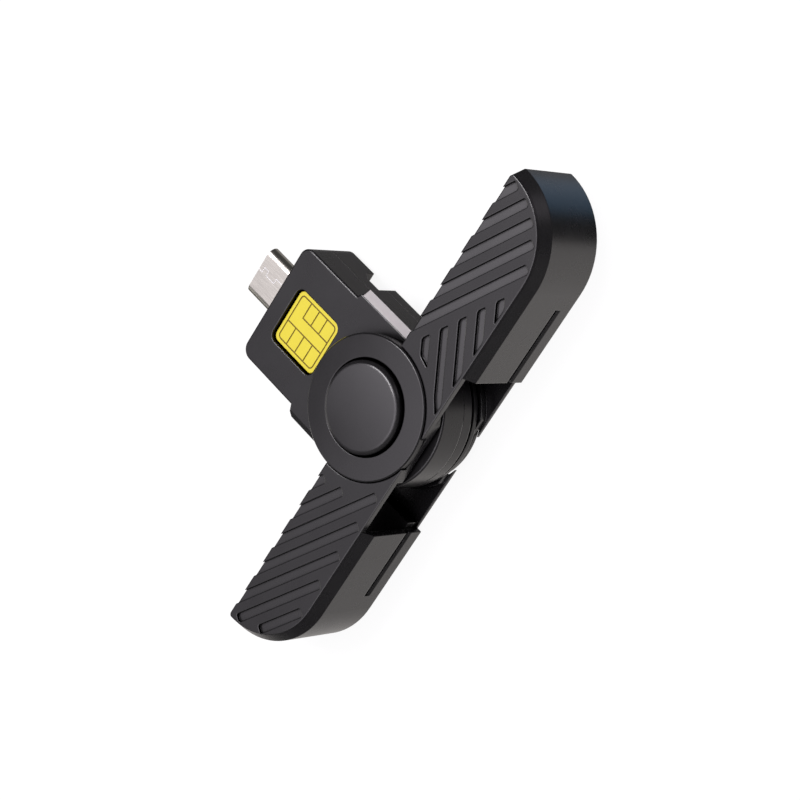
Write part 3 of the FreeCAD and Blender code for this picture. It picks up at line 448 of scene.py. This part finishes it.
ROOM_TONE = (0.05, 0.05, 0.05)
OVERHEAD_CARDS = [
    Card((1.8, 1.7, 1.84), [Limit(UP, 0.6, 0.98)]),
    Card((8.0, 7.8, 8.0), [Limit(SOFTBOX, 0.965, 0.985)]),
    Card((0.9, 0.87, 0.83), [Limit(BACK_LEFT, 0.95, 0.98)]),
    Card((0.15, 0.145, 0.145), [Limit(FRONT_LEFT, 0.0, 0.8), Limit(UP, -0.2, 0.0)]),
    Card((0.6, 0.56, 0.62), [Limit(RIGHT, 0.93, 1.0)]),
]
FLOOR_CARDS = [
    Card((0.62, 0.59, 0.575), [Limit(FRONT_LEFT, -0.05, 0.05), Limit(DOWN, 0.3, 0.65)]),
    Card((0.2, 0.19, 0.19), [Limit(BACK, 0.0, 0.5), Limit(DOWN, 0.3, 0.65)]),
]

# The blue card lies on the floor past the casing's right-hand end
BLUE_CARD = Card((0.13, 0.25, 0.4), [Limit(LOW_RIGHT, 0.93, 0.99)])
BLUE_START = 30.0 * MM
BLUE_FULL = 40.0 * MM


def card_share(graph, direction, limits):
    """How much of a card is seen in a direction."""
    share = 1.0
    for facing, start, full in limits:
        inside = graph.ramp(graph.along(facing, direction), start, full, soft=True)
        share = graph.math("MULTIPLY", share, inside)
    return share


def lit_by(graph, colour, tone, share):
    """A colour with a share of a card's light added."""
    return graph.mix(share, colour, graph.mix(1.0, colour, opaque(tone), "ADD"))


def studio_colour(graph, direction, cards):
    """The room's tone with the light of the cards added."""
    colour = opaque(ROOM_TONE)
    for tone, limits in cards:
        colour = lit_by(graph, colour, tone, card_share(graph, direction, limits))
    return colour


def surroundings():
    """White to the camera, and the studio's upper cards to every other ray."""
    world = bpy.data.worlds.new("studio")
    scene.world = world
    world.use_nodes = True
    graph = Graph(world.node_tree)
    output = graph.add("ShaderNodeOutputWorld")
    direction = graph.add("ShaderNodeTexCoord").outputs["Generated"]
    room = graph.add("ShaderNodeBackground")
    graph.feed(room, "Color", studio_colour(graph, direction, OVERHEAD_CARDS))
    white = graph.add("ShaderNodeBackground")
    graph.feed(white, "Color", grey(1.0))
    seen = graph.add("ShaderNodeLightPath").outputs["Is Camera Ray"]
    graph.feed(output, "Surface", graph.choose(seen, room.outputs[0], white.outputs[0]))


surroundings()


# Floor

FLOOR_HALF = 1.5
FLOOR_GLOW = 0.9
FLOOR_SHADE = 0.14
FLOOR_DARK = 0.78
FLOOR_LIGHT = 0.82


def floor_to_camera(finish):
    """Near white, with a trace of shadow."""
    glow = finish.add("ShaderNodeEmission")
    finish.feed(glow, "Strength", FLOOR_GLOW)
    shade = finish.add("ShaderNodeBsdfDiffuse")
    finish.feed(shade, "Color", grey(FLOOR_SHADE))
    both = finish.add("ShaderNodeAddShader")
    finish.feed(both, 0, glow.outputs[0])
    finish.feed(both, 1, shade.outputs[0])
    return both.outputs[0]


def floor_to_gloss(finish):
    """The studio's lower cards, and the blue one in its own part of the floor."""
    geometry = finish.add("ShaderNodeNewGeometry")
    direction = finish.vector("MULTIPLY", geometry.outputs["Incoming"], OPPOSITE)
    below = studio_colour(finish, direction, FLOOR_CARDS)
    near = finish.ramp(finish.along(X_AXIS, geometry.outputs["Position"]), BLUE_START, BLUE_FULL)
    blue_share = finish.math("MULTIPLY", near, card_share(finish, direction, BLUE_CARD.limits))
    cards = finish.add("ShaderNodeEmission")
    finish.feed(cards, "Color", lit_by(finish, below, BLUE_CARD.tone, blue_share))
    return cards.outputs[0]


def floor_to_others(finish):
    """Plain pale paint."""
    paint = finish.add("ShaderNodeBsdfDiffuse")
    finish.feed(paint, "Color", finish.mix(finish.noise(scale=12.0), grey(FLOOR_DARK), grey(FLOOR_LIGHT)))
    return paint.outputs[0]


def floor_material():
    """What the floor shows to the camera, to gloss and to every other ray."""
    finish = Finish("floor_white")
    path = finish.add("ShaderNodeLightPath")
    lit = finish.choose(path.outputs["Is Glossy Ray"], floor_to_others(finish), floor_to_gloss(finish))
    shown = finish.math("MAXIMUM", path.outputs["Is Camera Ray"], path.outputs["Is Transmission Ray"])
    finish.feed(finish.output, "Surface", finish.choose(shown, lit, floor_to_camera(finish)))
    return finish.material


floor_mesh = bpy.data.meshes.new("floor")
floor_corners = [(x * FLOOR_HALF, y * FLOOR_HALF, 0.0) for x, y in ((-1, -1), (1, -1), (1, 1), (-1, 1))]
floor_mesh.from_pydata(floor_corners, [], [(0, 1, 2, 3)])
floor_mesh.materials.append(floor_material())
floor = bpy.data.objects.new("floor", floor_mesh)
# The painted crevice shade looks only for things that cast a shadow, so this keeps the floor from
# darkening the part
floor.visible_shadow = False
scene.collection.objects.link(floor)


# Camera at the photograph's angle

CAMERA_PLACE = Vector((134.417, -152.993, 271.193)) * MM
CAMERA_RIGHT = Vector((0.4984, -0.6184, -0.6076))
CAMERA_UP = Vector((0.7696, 0.6383, -0.0183))
CAMERA_BACK = Vector((0.3991, -0.4585, 0.7941))
CAMERA_LENS = 102.16
CAMERA_SENSOR = 36.0
CAMERA_CLIP = 0.01

camera_data = bpy.data.cameras.new("camera")
camera_data.lens = CAMERA_LENS
camera_data.sensor_width = CAMERA_SENSOR
camera_data.clip_start = CAMERA_CLIP
camera = bpy.data.objects.new("camera", camera_data)
turn = Matrix((CAMERA_RIGHT, CAMERA_UP, CAMERA_BACK)).transposed().to_4x4()
camera.matrix_world = Matrix.Translation(CAMERA_PLACE) @ turn
scene.collection.objects.link(camera)
scene.camera = camera
scene.view_settings.view_transform = "Standard"
